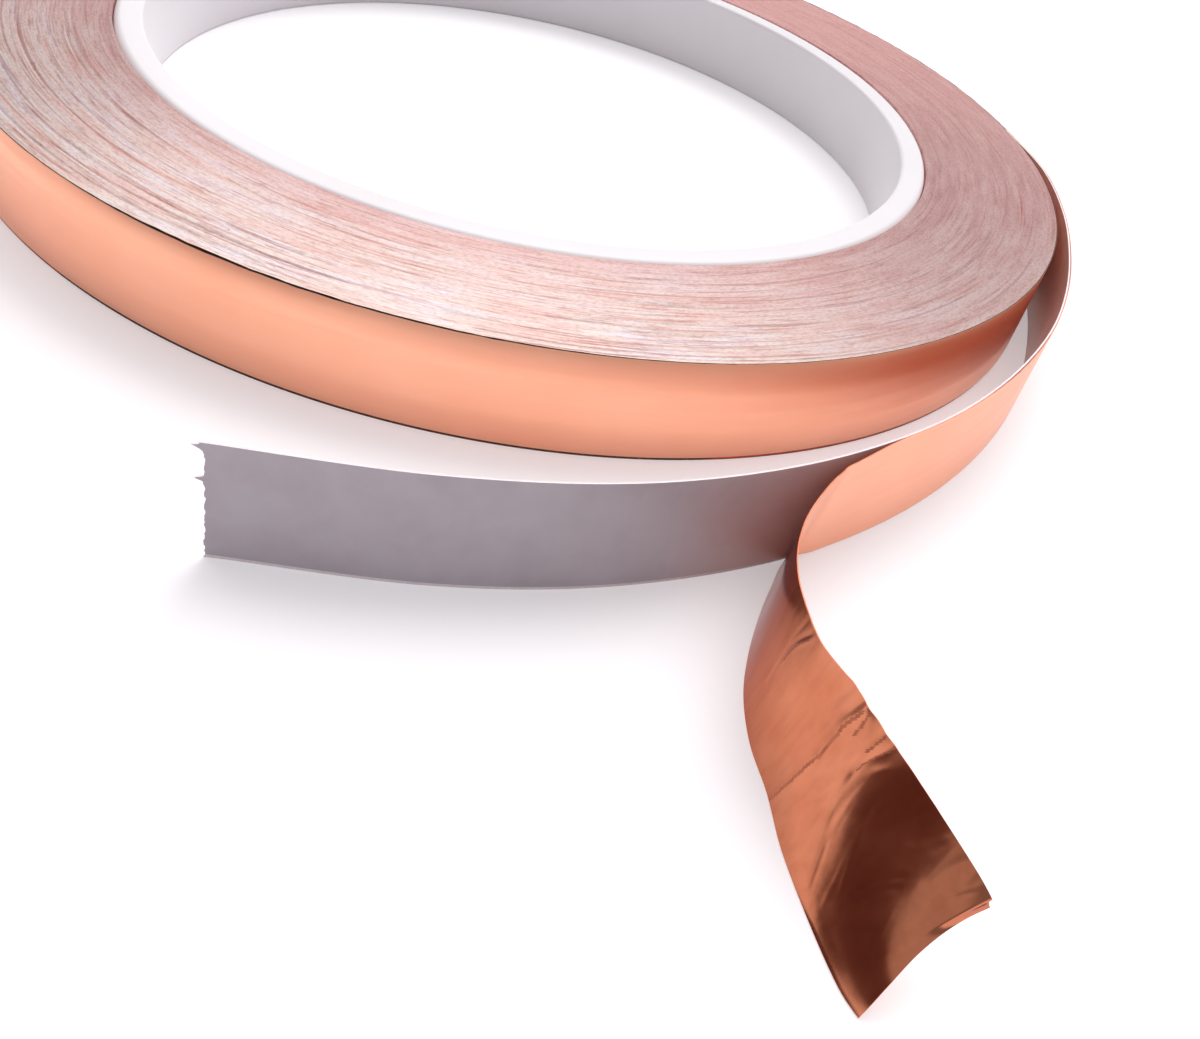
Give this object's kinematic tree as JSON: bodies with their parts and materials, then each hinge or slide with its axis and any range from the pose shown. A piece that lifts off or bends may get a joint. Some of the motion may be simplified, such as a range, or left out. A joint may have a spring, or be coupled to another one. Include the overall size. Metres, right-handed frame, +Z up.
{
  "type": "roll of copper foil tape",
  "caption": "Narrow adhesive copper foil tape wound on a thin plastic core, lying flat, with its loose end unwound and the foil peeled from its release liner.",
  "frame": {"origin": "the middle of the base of the whole part's bounding box, on the floor; the roll's axis is upright at x -0.6 mm, y 19.4 mm", "axes": "+Z up along the roll's axis; the loose end comes round the -Y side, and the free foil points towards -Y"},
  "size_m": [0.1099, 0.1474, 0.0088],
  "materials": {
    "white_plastic": "satin",
    "copper": "satin",
    "release_paper": "satin"
  },
  "bodies": {
    "root": {"core": "white_plastic", "tape_winding": "copper", "liner_tail": "release_paper", "foil_tail": "copper"}
  },
  "joints": []
}
